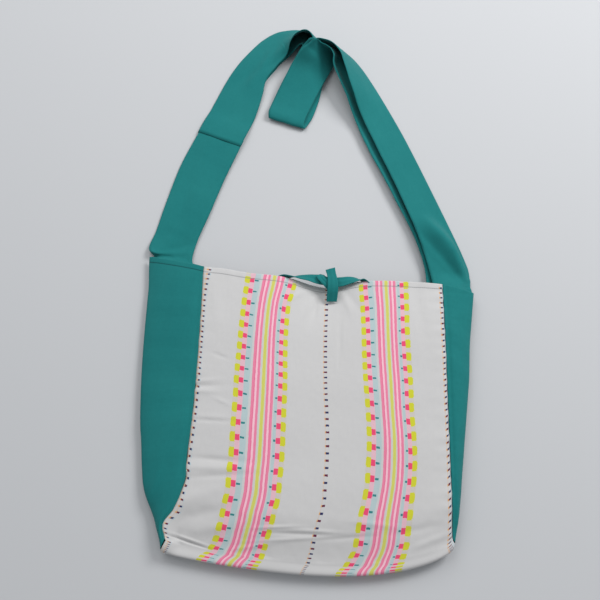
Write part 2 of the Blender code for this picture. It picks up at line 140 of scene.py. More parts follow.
def nodeGroup(name, inputs, outputs):
    group = bpy.data.node_groups.new(name, "ShaderNodeTree")
    for socket, kind, value in inputs:
        group.interface.new_socket(socket, in_out="INPUT", socket_type=kind).default_value = value
    for socket, kind in outputs:
        group.interface.new_socket(socket, in_out="OUTPUT", socket_type=kind)
    return group


class Graph:  # short ways to add nodes to one tree
    def __init__(self, tree):
        self.tree = tree
        self.nodes = tree.nodes
        self.links = tree.links

    def put(self, socket, value):
        if isinstance(value, bpy.types.NodeSocket):
            self.links.new(value, socket)
        else:
            socket.default_value = value

    def math(self, operation, *values):
        node = self.nodes.new("ShaderNodeMath")
        node.operation = operation
        for socket, value in zip(node.inputs, values):
            self.put(socket, value)
        return node.outputs["Value"]

    def mix(self, factor, a, b, blend="MIX"):
        node = self.nodes.new("ShaderNodeMix")
        node.data_type = "RGBA"
        node.blend_type = blend
        self.put(node.inputs["Factor"], factor)
        self.put(node.inputs[6], a)
        self.put(node.inputs[7], b)
        return node.outputs[2]

    def noise(self, vector, scale, detail=2.0):
        node = self.nodes.new("ShaderNodeTexNoise")
        self.put(node.inputs["Vector"], vector)
        node.inputs["Scale"].default_value = scale
        node.inputs["Detail"].default_value = detail
        return node.outputs["Fac"]

    def ramp(self, position, stops):  # fields of one colour each, with hard edges
        node = self.nodes.new("ShaderNodeValToRGB")
        node.color_ramp.interpolation = "CONSTANT"
        elements = node.color_ramp.elements
        elements.remove(elements[1])
        elements[0].position, elements[0].color = stops[0]
        for place, colour in stops[1:]:
            elements.new(place).color = colour
        self.put(node.inputs["Fac"], position)
        return node.outputs

    def uv(self, name):
        node = self.nodes.new("ShaderNodeUVMap")
        node.uv_map = name
        split = self.nodes.new("ShaderNodeSeparateXYZ")
        self.links.new(node.outputs["UV"], split.inputs["Vector"])
        return split.outputs["X"], split.outputs["Y"]

    def vector(self, x, y, z=0.0):
        node = self.nodes.new("ShaderNodeCombineXYZ")
        for socket, value in zip(node.inputs, (x, y, z)):
            self.put(socket, value)
        return node.outputs["Vector"]

    def group(self, tree, **values):
        node = self.nodes.new("ShaderNodeGroup")
        node.node_tree = tree
        for name, value in values.items():
            self.put(node.inputs[name], value)
        return node.outputs


# Over-and-under threads: the height is the product of two sines, and slubs are noise stretched along each
# thread.
def makeWeave():
    group = nodeGroup("plain weave", [
        ("Across", "NodeSocketFloat", 0.0), ("Down", "NodeSocketFloat", 0.0),
        ("Pitch", "NodeSocketFloat", 0.0006),
    ], [("Height", "NodeSocketFloat"), ("Slub", "NodeSocketFloat")])
    fine, coarse = 900.0, 60.0  # slubs to a metre, across a thread and along it
    g = Graph(group)
    source = g.nodes.new("NodeGroupInput").outputs
    turn = g.math("DIVIDE", math.pi, source["Pitch"])
    warp = g.math("SINE", g.math("MULTIPLY", source["Across"], turn))
    weft = g.math("SINE", g.math("MULTIPLY", source["Down"], turn))
    height = g.math("MULTIPLY", warp, weft)
    halves = []
    for acrossScale, downScale in ((fine, coarse), (coarse, fine)):
        x = g.math("MULTIPLY", source["Across"], acrossScale)
        y = g.math("MULTIPLY", source["Down"], downScale)
        halves.append(g.math("MULTIPLY", g.noise(g.vector(x, y), 1.0), 0.5))
    slub = g.math("ADD", *halves)
    target = g.nodes.new("NodeGroupOutput")
    g.put(target.inputs["Height"], height)
    g.put(target.inputs["Slub"], slub)
    return group


# A row of stitches along a line: Thread is 1 on a stitch and 0 off it, and Groove falls from 1 on the line to
# 0. Groove dents the cloth and also darkens it with painted shade.
def makeStitches():
    group = nodeGroup("stitch row", [
        ("Off", "NodeSocketFloat", 0.0), ("Along", "NodeSocketFloat", 0.0),
        ("Pitch", "NodeSocketFloat", 0.003), ("Width", "NodeSocketFloat", 0.0004),
    ], [("Thread", "NodeSocketFloat"), ("Groove", "NodeSocketFloat")])
    g = Graph(group)
    source = g.nodes.new("NodeGroupInput").outputs
    near = g.math("DIVIDE", g.math("ABSOLUTE", source["Off"]), source["Width"])
    groove = g.math("SUBTRACT", 1.0, g.math("MINIMUM", g.math("MULTIPLY", near, 0.4), 1.0))
    onLine = g.math("LESS_THAN", near, 1.0)
    beat = g.math("FRACT", g.math("DIVIDE", source["Along"], source["Pitch"]))
    stitchShare = 0.72  # of the pitch
    target = g.nodes.new("NodeGroupOutput")
    g.put(target.inputs["Thread"], g.math("MULTIPLY", onLine, g.math("LESS_THAN", beat, stitchShare)))
    g.put(target.inputs["Groove"], groove)
    return group


weave = makeWeave()
stitches = makeStitches()


def clothMaterial(name, roughness):
    mat = bpy.data.materials.new(name)
    mat.use_nodes = True
    shader = mat.node_tree.nodes["Principled BSDF"]
    shader.inputs["Roughness"].default_value = roughness
    shader.inputs["Specular IOR Level"].default_value = 0.2
    shader.inputs["Sheen Weight"].default_value = 0.06
    shader.inputs["Sheen Roughness"].default_value = 0.5
    return mat, Graph(mat.node_tree), shader


def bumpUp(g, shader, height, strength):
    node = g.nodes.new("ShaderNodeBump")
    node.inputs["Distance"].default_value = threadRise
    node.inputs["Strength"].default_value = strength
    g.put(node.inputs["Height"], height)
    g.links.new(node.outputs["Normal"], shader.inputs["Normal"])


canvas = {
    "colour": (0.007, 0.168, 0.170, 1),
    "faded": (0.017, 0.220, 0.216, 1),
    "pitch": 0.55 * mm,
    "roughness": 0.9,
    "bump": 0.8,
    "slubColour": (0.004, 0.115, 0.115, 1),
    "stitchPitch": 2.8 * mm,
    "threadColour": (0.006, 0.085, 0.088, 1),
    # painted shade for the stitch row's groove
    "grooveShadeColour": (0.004, 0.050, 0.052, 1),
}


# Dyed canvas, a little faded in patches and on its slubs, with painted shade darkening the stitch row's
# groove. hem is the stitch row's distance from the mouth's edge.
def makeCanvas(name, hem=None):
    mat, g, shader = clothMaterial(name, canvas["roughness"])
    across, down = g.uv("cloth")
    threads = g.group(weave, Across=across, Down=down, Pitch=canvas["pitch"])
    place = g.nodes.new("ShaderNodeTexCoord").outputs["Object"]
    cloudy = g.noise(place, 14.0, 3.0)
    fine = g.noise(place, 220.0, 2.0)
    fade = g.math("MULTIPLY_ADD", cloudy, 0.9, g.math("MULTIPLY_ADD", fine, 0.4, -0.35))
    colour = g.mix(fade, canvas["colour"], canvas["faded"])
    colour = g.mix(g.math("MULTIPLY_ADD", threads["Slub"], 0.5, -0.05), colour, canvas["slubColour"])
    height = g.math("MULTIPLY_ADD", threads["Height"], 0.35, g.math("MULTIPLY", threads["Slub"], 0.8))
    if hem is not None:
        row = g.group(stitches, Off=g.math("SUBTRACT", down, hem), Along=across, Pitch=canvas["stitchPitch"])
        # painted shade: the groove along the stitch row is darkened
        colour = g.mix(g.math("MULTIPLY", row["Groove"], 0.8), colour, canvas["grooveShadeColour"])
        colour = g.mix(row["Thread"], colour, canvas["threadColour"])
        height = g.math("SUBTRACT", height, g.math("MULTIPLY", row["Groove"], 2.0))
        height = g.math("MULTIPLY_ADD", row["Thread"], 1.2, height)
    g.put(shader.inputs["Base Color"], colour)
    bumpUp(g, shader, height, canvas["bump"])
    return mat


pattern = {
    "cloth": (0.580, 0.576, 0.576, 1),
    "edge": (0.580, 0.545, 0.500, 1),
    "pink": (0.790, 0.225, 0.355, 1),
    "deepPink": (0.750, 0.170, 0.300, 1),
    "softPink": (0.870, 0.520, 0.610, 1),
    "redPink": (0.800, 0.075, 0.180, 1),
    "yellow": (0.600, 0.600, 0.040, 1),
    "lime": (0.600, 0.600, 0.135, 1),
    "paleBlue": (0.450, 0.555, 0.570, 1),
    "palePink": (0.740, 0.465, 0.530, 1),
    "teal": (0.035, 0.220, 0.230, 1),
    "paleYellow": (0.680, 0.620, 0.350, 1),
    "orange": (0.66, 0.34, 0.12, 0.9),
    "blue": (0.38, 0.52, 0.58, 0.7),
    "rim": (0.60, 0.50, 0.40, 0.6),
    "dark": (0.05, 0.03, 0.06, 1),
    "dotColours": ((0.13, 0.025, 0.06, 1), (0.03, 0.035, 0.11, 1)),
    "cloudColour": (0.86, 0.85, 0.83, 1),
    "slubColour": (0.90, 0.89, 0.87, 1),
    # painted shade for the hem stitch row's groove
    "grooveShadeColour": (0.18, 0.18, 0.19, 1),
    "threadColour": (0.30, 0.30, 0.31, 1),
    "firstBand": 51 * mm,  # left edge of each band, and its width
    "secondBand": 228 * mm,
    "width": 76 * mm,
    "flatWidth": 346 * mm,
    "dotLines": (4.6 * mm, 178 * mm, 342.4 * mm),
    "dotsPerRow": 2.1,  # for each row of blocks
    "dotShare": 0.30,  # of the dots' pitch
    "wobble": 1.3 * mm,  # how unevenly the threads lie, across
    "rowWobble": 0.10,  # and along, in rows of blocks
    "wobbleScale": 160.0,
    "pitch": 0.45 * mm,
    "roughness": 0.92,
    "bump": 0.7,
    "stitchPitch": 3.0 * mm,
}
# One band from its left edge: width in mm, the stripe's colour, then its blocks' colour and the share of
# the pitch that they fill.
bandStripes = [
    (0.1, "cloth", None, 0), (1.0, "edge", "yellow", 0.50), (5.9, "edge", "yellow", 0.66),
    (6.4, "palePink", "redPink", 0.40), (0.6, "palePink", None, 0),
    (6.0, "paleBlue", "teal", 0.13), (2.4, "paleBlue", None, 0),
    (3.2, "cloth", None, 0), (3.4, "pink", None, 0), (1.1, "deepPink", None, 0), (3.0, "softPink", None, 0),
    (3.6, "pink", None, 0), (2.7, "cloth", None, 0), (0.7, "paleYellow", None, 0), (4.2, "lime", None, 0),
    (0.7, "paleYellow", None, 0), (1.5, "cloth", None, 0), (3.6, "pink", None, 0), (2.8, "softPink", None, 0),
    (1.0, "deepPink", None, 0), (2.8, "pink", None, 0), (1.8, "cloth", None, 0), (1.0, "paleBlue", None, 0),
    (3.2, "paleBlue", "teal", 0.13), (0.3, "palePink", None, 0),
    (6.1, "palePink", "redPink", 0.40), (5.9, "edge", "yellow", 0.66),
    (1.0, "edge", "yellow", 0.50), (0.1, "cloth", None, 0),
]


# The two bands: x across the cloth is folded so that both read the same stripes, and a block shows where
# the row's phase, 0 at its middle, is nearer than half the block's share.
def addBands(g, x, phase):
    past = g.math("GREATER_THAN", x, pattern["secondBand"] - 25 * mm)
    folded = g.math("SUBTRACT", x, g.math("MULTIPLY", past, pattern["secondBand"] - pattern["firstBand"]))
    margin = 3 * mm
    span = pattern["width"] + 2 * margin
    inBand = g.math("DIVIDE", g.math("SUBTRACT", folded, pattern["firstBand"] - margin), span)
    plain = pattern["cloth"]
    clear = (*plain[:3], 0)
    stripeStops, blockStops, sizeStops = [(0.0, plain)], [(0.0, clear)], [(0.0, (0, 0, 0, 1))]
    edge = margin
    for width, stripe, block, tall in bandStripes:
        at = edge / span
        stripeStops.append((at, pattern[stripe]))
        blockStops.append((at, (*pattern[block or stripe][:3], 1 if block else 0)))
        sizeStops.append((at, (tall / 2, 0, 0, 1)))
        edge += width * mm
    for stops, last in ((stripeStops, plain), (blockStops, clear), (sizeStops, (0, 0, 0, 1))):
        stops.append((edge / span, last))
    stripes = g.ramp(inBand, stripeStops)["Color"]
    blocks = g.ramp(inBand, blockStops)
    sizes = g.nodes.new("ShaderNodeSeparateColor")
    g.links.new(g.ramp(inBand, sizeStops)["Color"], sizes.inputs["Color"])
    beat = g.math("FRACT", g.math("ADD", phase, 0.5))
    away = g.math("ABSOLUTE", g.math("SUBTRACT", beat, 0.5))
    inBlock = g.math("MULTIPLY", g.math("LESS_THAN", away, sizes.outputs["Red"]), blocks["Alpha"])
    return g.mix(inBlock, stripes, blocks["Color"])


# Border lines: dots of two threads in turn, with a pale orange edge on the left and a pale blue one on
# the right.
def addDotLines(g, x, phase, colour):
    flat = pattern["flatWidth"]
    clear = (*pattern["cloth"][:3], 0)
    lineStops = [(0.0, pattern["rim"]), (1.6 * mm / flat, clear)]
    dotStops = [(0.0, clear)]
    for middle in pattern["dotLines"]:
        for off, edge in ((-2.5, pattern["orange"]), (-1.0, clear), (1.2, pattern["blue"]), (2.4, clear)):
            lineStops.append(((middle + off * mm) / flat, edge))
        for off, dot in ((-1.7, pattern["dark"]), (1.8, clear)):
            dotStops.append(((middle + off * mm) / flat, dot))
    share = g.math("DIVIDE", x, flat)
    lines = g.ramp(share, lineStops)
    dots = g.ramp(share, dotStops)
    dotBeat = g.math("FRACT", g.math("MULTIPLY", phase, pattern["dotsPerRow"]))
    dotOn = g.math("LESS_THAN", dotBeat, pattern["dotShare"])
    odd = g.math("LESS_THAN", g.math("FRACT", g.math("MULTIPLY", phase, pattern["dotsPerRow"] / 2)), 0.5)
    dotColour = g.mix(odd, *pattern["dotColours"])
    fringe = g.math("MULTIPLY", lines["Alpha"], g.math("MULTIPLY_ADD", dotOn, 0.8, 0.2))
    colour = g.mix(fringe, colour, lines["Color"])
    return g.mix(g.math("MULTIPLY", dotOn, dots["Alpha"]), colour, dotColour)


# The print reads its own UV map: x is metres across the flat cloth, y is rows of blocks down it.
def makeCotton():
    mat, g, shader = clothMaterial("handloom cotton", pattern["roughness"])
    printX, printRow = g.uv("print")
    across, down = g.uv("cloth")
    scaled = g.vector(*(g.math("MULTIPLY", way, pattern["wobbleScale"]) for way in (across, down)))
    wobble = g.math("SUBTRACT", g.noise(scaled, 1.0, 3.0), 0.5)
    x = g.math("MULTIPLY_ADD", wobble, pattern["wobble"], printX)
    phase = g.math("MULTIPLY_ADD", wobble, pattern["rowWobble"], printRow)
    colour = addDotLines(g, x, phase, addBands(g, x, phase))

    threads = g.group(weave, Across=across, Down=down, Pitch=pattern["pitch"])
    place = g.nodes.new("ShaderNodeTexCoord").outputs["Object"]
    cloudy = g.noise(place, 9.0, 3.0)
    colour = g.mix(g.math("MULTIPLY_ADD", cloudy, 0.35, -0.05), colour, pattern["cloudColour"], "MULTIPLY")
    colour = g.mix(g.math("MULTIPLY", threads["Slub"], 0.25), colour, pattern["slubColour"], "MULTIPLY")
    height = g.math("MULTIPLY_ADD", threads["Height"], 0.3, g.math("MULTIPLY", threads["Slub"], 0.9))
    offHem = g.math("SUBTRACT", down, bag["frontHem"])
    row = g.group(stitches, Off=offHem, Along=across, Pitch=pattern["stitchPitch"])
    # painted shade: the groove along the hem's stitch row is darkened
    colour = g.mix(g.math("MULTIPLY", row["Groove"], 0.45), colour, pattern["grooveShadeColour"])
    colour = g.mix(g.math("MULTIPLY", row["Thread"], 0.7), colour, pattern["threadColour"])
    height = g.math("SUBTRACT", height, g.math("MULTIPLY", row["Groove"], 2.0))
    g.put(shader.inputs["Base Color"], colour)
    bumpUp(g, shader, height, pattern["bump"])
    return mat


# The bag's outline. u runs from the left seam, 0, to the right one, 1, and v from the hem, 0, to the
# front's lower corner line, 1.

bag = {
    "width": 346 * mm,  # the front, from seam to seam
    "height": 376 * mm,  # from the hem to the lower corner line
    "gusset": 136 * mm,  # a side panel's width at the mouth, and at the foot
    "foot": 48 * mm,
    "lying": 25 * mm,  # height of the front over the floor
    "middle": 34.5 * mm,  # x of the front's middle
    "leftShow": 84 * mm,  # what each side panel shows beside the front
    "rightShow": 46 * mm,
    "leftLean": 6 * mm,  # how far each seam runs to the left from hem to foot
    "rightLean": 13 * mm,
    "leftStep": 26 * mm,  # the left seam's turn outwards near the foot
    "hemFall": 22 * mm,  # the hem lies lower on the right
    "hemPull": 10.5 * mm,  # where the ties pull it down
    "tieX": 36 * mm,
    "mouthDip": 13 * mm,  # how far the ties press the front in
    "swell": 2.0 * mm,
    "cornerY": -9 * mm,  # ends of the lower corner line, and its sag between them
    "baseSag": 30 * mm,
    "baseDepth": 13 * mm,  # what the base shows below that line
    "footFall": 7 * mm,
    "backIn": 12 * mm,  # what the back's foot stands in from the base's edge
    "leastUnder": 12 * mm,  # what a side panel reaches under at least
    "hemStart": 9 * mm,  # what the hem's left end stands below the full height
    "frontHem": 8.5 * mm,  # depth of the hems' stitch rows
    "panelHem": 8.2 * mm,
    "panelSteps": 26,  # points on each of a side panel's two arcs
    "columns": 145,  # of the body's grid, and the rows of its back and of the turn at its base
    "backRows": 50,
    "turnRows": 14,
    "hemShare": 0.024,  # of the height, where the cloth is doubled
}
panelLeft = bag["middle"] - bag["width"] / 2
panelRight = bag["middle"] + bag["width"] / 2
# v, then how far the left seam and the left panel's crease stand from their even lines, mm.
leftShift = [
    (0.00, -3.0, 0.0), (0.52, -3.0, 0.0), (0.60, -4.0, 1.4), (0.667, -5.6, 4.1), (0.735, -7.0, 6.0),
    (0.785, -6.2, 7.9), (0.837, -3.9, 10.3), (0.870, 0.0, 11.0), (0.903, 0.8, 9.6), (0.935, -4.8, 6.2),
    (0.967, -5.2, 4.6), (1.00, 0.0, 3.6), (1.30, 0.0, 3.6),
]


def leftSeam(v):  # x and z: a leaning line with a step near the foot, plus the table's shift
    shift = through(leftShift, np.ravel(v))[:, 0].reshape(np.shape(v)) * mm
    x = panelLeft - bag["leftLean"] * v - bag["leftStep"] * smooth((v - 0.78) / 0.17) + shift
    return x, bag["lying"] - 1 * mm - 3 * mm * smooth((v - 0.85) / 0.15)


def rightSeam(v):  # x and z: a leaning line, lower at both ends
    x = panelRight - bag["rightLean"] * v
    return x, bag["lying"] + 1 * mm - 4 * mm * smooth((v - 0.85) / 0.15) - 4 * mm * smooth(1 - v / 0.2)


def cornerY(u):  # the root of a half sine wave, deepest right of the middle
    return bag["cornerY"] - bag["baseSag"] * np.sin(math.pi * np.clip(u, 0, 1) ** 1.5) ** 0.5


def hemY(u):  # falls to the right by a power of u, with a bell where the ties pull and a step at each end
    x = panelLeft + u * bag["width"]
    fall = bag["hemFall"] * np.clip(u, 0, 1) ** 0.7
    y = bag["height"] - bag["hemStart"] - fall - bag["hemPull"] * bell(x, bag["tieX"], 40 * mm)
    return y - 4.5 * mm * smooth((u - 0.06) / 0.18) - 1 * mm * smooth((u - 0.9) / 0.1)


# Height of the front: the seams' heights blended across, a half sine wave between them, a bell pressed in
# under the ties, a low slanting wave, and a fall to the lower edge.
def frontZ(x, u, v):
    edge = (1 - u) * leftSeam(v)[1] + u * rightSeam(v)[1]
    swell = bag["swell"] * np.sin(math.pi * u) * np.sin(math.pi * np.clip(v, 0, 1)) ** 0.5
    dip = bag["mouthDip"] * bell(x, bag["tieX"], 46 * mm) * np.exp(-v * bag["height"] / (70 * mm))
    ridge = 1.2 * mm * smooth((v - 0.55) / 0.4) * np.sin(9 * u + 5 * v) * np.sin(math.pi * u)
    foot = bag["footFall"] * smooth((v - 0.84) / 0.16) * (1 - 0.5 * u) * np.clip(20 * u, 0, 1)
    return edge + swell - dip + ridge - foot


def frontPoint(u, v):  # straight across between the seams, and straight down between hem and corner line
    x = (1 - u) * leftSeam(v)[0] + u * rightSeam(v)[0]
    y = (1 - v) * hemY(u) + v * cornerY(u)
    return np.stack(np.broadcast_arrays(x, y, frontZ(x, u, v)), -1)


def baseY(u):
    return cornerY(u) - bag["baseDepth"] * (1 - 0.6 * u ** 6)


def creaseLeft(v):  # the side panel's outer fold: a line that bends in by a power of v, stepped at both ends
    footIn = 29 * mm * smooth((v - 0.78) / 0.22) ** 1.3
    top = 1 - smooth(v / 0.12)
    x = panelLeft - bag["leftShow"] + 12 * mm * v ** 2.5 + footIn - 3 * mm * top
    x = x + through(leftShift, v)[:, 1] * mm
    y = (bag["height"] + 6 * mm) * (1 - v) + baseY(0.0) * v + 6 * mm * top
    return np.stack([x, y, (1 - v) * 8 * mm + v * 11 * mm], -1)


def creaseRight(v):  # a straight line to the foot, with a low bulge between two steps
    bulge = 3 * mm * smooth((v - 0.2) / 0.2) * (1 - smooth((v - 0.88) / 0.12))
    x = panelRight + bag["rightShow"] - 56 * mm * v + bulge
    y = (bag["height"] - 48 * mm) * (1 - v) + baseY(1.0) * v
    return np.stack([x, y, (1 - v) * 12 * mm + v * 11 * mm], -1)


# A side panel's three lines: its seam with the front, its crease, and its seam with the back on the
# floor. The back's line stands where the rest of the panel's width reaches, under the crease.
def gussetLines(v, side):
    front = frontPoint(np.full_like(v, (side + 1) / 2), v)
    crease = (creaseLeft if side < 0 else creaseRight)(v)
    width = bag["gusset"] - (bag["gusset"] - bag["foot"]) * v ** 1.5
    over = np.linalg.norm(crease - front, axis=-1) + crease[:, 2]
    x = crease[:, 0] - side * np.maximum(width - over, bag["leastUnder"])
    y = (front[0, 1] - 20 * mm) * (1 - v) + (baseY((side + 1) / 2) + bag["backIn"]) * v
    return front, crease, np.stack([x, y, np.zeros_like(v)], -1)


# Two cubic arcs a row: one rises from the front's line over the crease, and one runs from there back under.
def roundSection(front, crease, back, steps):
    out = crease - front
    out[:, 2] = 0
    out /= np.linalg.norm(out, axis=1)[:, None]
    lift = np.zeros_like(crease)
    lift[:, 2] = 0.6 * crease[:, 2]
    t = np.linspace(0, 1, steps)
    reach = np.linalg.norm(crease - front, axis=1)[:, None]
    under = np.linalg.norm(back - crease, axis=1)[:, None]
    level = out * 2 * mm
    upper = bezier(front + level, front + out * reach / 2, crease + lift, crease, t)
    lower = bezier(crease, crease - lift, back + out * under / 2, back + level, t)
    return np.concatenate([front[:, None], upper, lower[:, 1:], back[:, None]], 1)


# Patterned cloth: front, base and back

# Folds on the front: x and y of the middle (mm in the drawing), bearing of the fold's length (degrees),
# half length, half width and height (mm). A negative height is a valley.
frontFolds = [
    (-138, 196, 4, 22, 2.4, 0.9), (-136, 189, 2, 26, 2.2, -0.9), (-134, 182, -2, 24, 3.0, 0.7),
    (-118, 142, -3, 30, 1.6, -0.8), (-118, 147, -3, 26, 3.5, 0.4),
    (-112, 91, -4, 36, 3.4, -1.1), (-112, 80, -2, 40, 4.5, 0.9), (-110, 70, 3, 38, 3.0, -0.7),
    (-128, 47, 16, 34, 9, 1.0), (-122, 24, 12, 34, 8, -1.4), (-112, 6, 8, 30, 7, 0.9),
    (-30, 7, 2, 26, 2.2, 0.7), (-8, -1, -2, 34, 2.4, -0.7), (-20, -8, 3, 40, 2.6, 0.7),
    (20, 2, -3, 30, 2.6, 0.6), (60, -6, 4, 34, 3.0, -0.6), (-60, -16, 8, 28, 3.0, 0.6),
    (95, 10, -6, 30, 4.0, 0.6), (150, 4, 12, 28, 5.0, -0.7), (165, -10, 20, 24, 4.5, 0.9),
    (22, 302, 78, 16, 3.2, -1.3), (14, 306, 70, 20, 4.0, 0.7), (56, 256, 88, 30, 2.6, -0.5),
    (66, 312, 112, 20, 4.0, 0.6), (76, 316, 122, 22, 4.5, -0.6), (-6, 322, 28, 30, 4.5, 0.7),
    (-161, -8, 48, 13, 2.0, -1.0), (-163, -18, -52, 14, 2.0, 0.9), (-152, -14, 62, 10, 1.8, 0.8),
    (-140, -12, -18, 26, 1.3, -1.3), (-140, -8, -18, 24, 1.6, 0.7), (-176, -4, -40, 9, 1.6, 1.0),
    (-112, 232, -20, 12, 1.6, -0.8), (-106, 168, -24, 12, 1.6, 0.7), (-140, 214, 80, 14, 2.6, 0.6),
    (-120, 300, 100, 40, 9, 0.5), (170, 300, 96, 50, 8, -0.6), (120, 120, 84, 70, 14, 0.6),
]
# Where the print's lines cross the front: v, then u of the left dots, the first band's two columns of
# blocks, the middle line and the second band's two columns.
printLines = [
    (0.00, 0.0290, 0.192, 0.387, 0.517, 0.659, 0.844),
    (0.04, 0.0220, 0.187, 0.379, 0.516, 0.660, 0.844),
    (0.10, 0.0140, 0.181, 0.363, 0.515, 0.665, 0.844),
    (0.20, 0.0110, 0.174, 0.354, 0.512, 0.669, 0.843),
    (0.30, 0.0110, 0.169, 0.353, 0.512, 0.671, 0.846),
    (0.40, 0.0110, 0.164, 0.356, 0.514, 0.676, 0.851),
    (0.50, 0.0110, 0.163, 0.355, 0.520, 0.684, 0.852),
    (0.60, 0.0110, 0.159, 0.353, 0.523, 0.687, 0.858),
    (0.68, 0.0100, 0.154, 0.348, 0.519, 0.681, 0.858),
    (0.75, 0.0085, 0.148, 0.341, 0.513, 0.674, 0.851),
    (0.80, 0.0080, 0.148, 0.339, 0.511, 0.663, 0.843),
    (0.85, 0.0090, 0.159, 0.343, 0.510, 0.657, 0.839),
    (0.90, 0.0200, 0.176, 0.351, 0.509, 0.659, 0.837),
    (0.95, 0.0080, 0.175, 0.345, 0.506, 0.654, 0.832),
    (1.00, 0.0120, 0.151, 0.330, 0.492, 0.624, 0.814),
    (1.30, 0.0120, 0.138, 0.326, 0.484, 0.612, 0.815),
    (2.30, 0.0120, 0.158, 0.357, 0.514, 0.670, 0.868),
]
printMarks = [4.6, 54.7, 123.5, 178, 231.7, 300.5]  # mm from the left seam, flat
printColumns = [0.155, 0.352, 0.665, 0.85]  # u of the four columns of blocks
# How many rows of blocks lie above, then v in each column.
printRows = [
    (-2, -0.050, -0.055, -0.060, -0.075), (0, 0.027, 0.032, 0.027, 0.015), (3, 0.163, 0.181, 0.158, 0.153),
    (6, 0.292, 0.303, 0.291, 0.301), (9, 0.419, 0.425, 0.420, 0.440), (12, 0.572, 0.567, 0.565, 0.592),
    (15, 0.727, 0.720, 0.722, 0.747), (18, 0.877, 0.873, 0.882, 0.907), (19, 0.917, 0.920, 0.930, 0.955),
    (20, 0.955, 0.960, 0.968, 0.986), (21, 0.984, 0.990, 0.998, 1.010), (24, 1.100, 1.110, 1.120, 1.130),
    (28, 1.400, 1.400, 1.400, 1.400), (50, 2.350, 2.350, 2.350, 2.350),
]


def foldHeights(x, y, folds):  # each fold is a bell along its length times a bell across it
    total = np.zeros(np.broadcast(x, y).shape)
    for middleX, middleY, bearing, halfLength, halfWidth, height in folds:
        turn = math.radians(bearing)
        dx, dy = x - middleX * mm, y - middleY * mm
        along = dx * math.cos(turn) + dy * math.sin(turn)
        off = dy * math.cos(turn) - dx * math.sin(turn)
        total += height * mm * bell(along, 0, halfLength * mm) * bell(off, 0, halfWidth * mm)
    return total


# Wrinkles of the front: the folds, waves of four sizes, puckers that die out from the seams, the step
# under the hem with its stitched groove, and waves along the hem.
def frontRelief(points, v):
    x, y = points[..., 0], points[..., 1]
    down = v * bag["height"]
    fromLeft, fromRight = x - leftSeam(v)[0], rightSeam(v)[0] - x
    relief = 1.4 * foldHeights(x, y, frontFolds)
    relief += 0.35 * mm * ripples(x, y, 3, 6, 150 * mm, 55 * mm)
    relief += 0.10 * mm * ripples(x, y, 5, 8, 40 * mm, 14 * mm) * (0.4 + 0.6 * smooth((v - 0.6) / 0.3))
    relief += 0.05 * mm * ripples(x, y, 9, 8, 14 * mm, 6 * mm)
    for off, seed in ((fromLeft, 11), (fromRight, 12)):
        relief += 0.5 * mm * ripples(0 * y, y, seed, 5, 36 * mm, 11 * mm) * np.exp(-off / (12 * mm))
        relief -= 1.6 * mm * np.exp(-off / (2.2 * mm))
    relief += 0.35 * mm * (1 - smooth((down - bag["frontHem"]) / (1.5 * mm)))
    relief -= 0.3 * mm * bell(down, bag["frontHem"], 0.9 * mm)
    relief += 0.5 * mm * ripples(x, 0 * x, 21, 5, 60 * mm, 18 * mm) * np.exp(-down / (9 * mm))
    return relief


# Metres across the flat cloth and rows of blocks down it, for each point of the body's grid. The print
# keeps its place where the left seam swings, and only the line of dots swings with it.
def printPlaces(u, v):
    marks = [0, *[mark * mm for mark in printMarks], pattern["flatWidth"]]
    swing = through(leftShift, np.clip(v, 0, 1))[:, 0] + 3 * (1 - smooth((v - 0.55) / 0.2))
    swing *= mm / bag["width"]
    across = np.array([
        np.interp(u + shift * (1 - u), [shift, shift + line[0], *line[1:], 1], marks)
        for shift, line in zip(swing, through(printLines, v))
    ])
    rows = np.array(printRows)
    counts = np.stack([through(rows[:, [column, 0]], v)[:, 0] for column in (1, 2, 3, 4)], 1)
    phase = np.array([np.interp(u, printColumns, count) for count in counts])
    return np.stack([across, phase], -1)


# Front, base and back as one grid. The base turns from the front's lower edge round to the back, which
# lies on the floor between the side panels' seams and runs up to the mouth again.
def makeBodyCloth(mat):
    u = np.linspace(0, 1, bag["columns"])
    # v from, v to, rows: fine at the hem and at the foot
    bands = (0, 0.045, 14), (0.045, 0.86, 131), (0.86, 1, 81)
    v = np.concatenate([np.linspace(*band)[min(number, 1):] for number, band in enumerate(bands)])
    uGrid, vGrid = np.meshgrid(u, v)
    front = frontPoint(uGrid, vGrid)
    fade = 1 - smooth((vGrid - 0.985) / 0.015)
    front[..., 2] += frontRelief(front, vGrid) * fade
    vBack = np.linspace(0, 1, bag["backRows"])
    backLeft, backRight = gussetLines(vBack, -1)[2], gussetLines(vBack, 1)[2]
    back = backLeft[:, None] * (1 - u)[None, :, None] + backRight[:, None] * u[None, :, None]
    back[..., 1] += (baseY(u) + bag["backIn"] - back[-1, :, 1])[None] * vBack[:, None]
    back = back[::-1]
    footLeft, footRight = creaseLeft(np.array([1.0]))[0], creaseRight(np.array([1.0]))[0]
    base = footLeft * (1 - u)[:, None] + footRight * u[:, None]
    base[:, 1] = baseY(u)
    turn = roundSection(front[-1].copy(), base, back[0], bag["turnRows"]).transpose(1, 0, 2)
    grid = np.concatenate([front, turn[1:], back[1:]])
    grid[:, 0, 0] += seamGap
    grid[:, -1, 0] -= seamGap
    baseEnd = 1.3  # v where the base ends and the back starts, which is 1 long
    vTurn, vUp = np.linspace(1, baseEnd, len(turn))[1:], baseEnd + vBack[1:]
    vAll = np.concatenate([v, vTurn, vUp])
    hem = bag["hemShare"]
    rowShare = np.where((vAll < hem) | (vAll > baseEnd + 1 - hem), 1.0, 0.5)
    piece = clothPiece("bag_cloth", grid, mat, "body_cloth", 2 * clothThickness, flip=True,
                       printed=printPlaces(u, vAll), rowShare=rowShare)


# Side panels

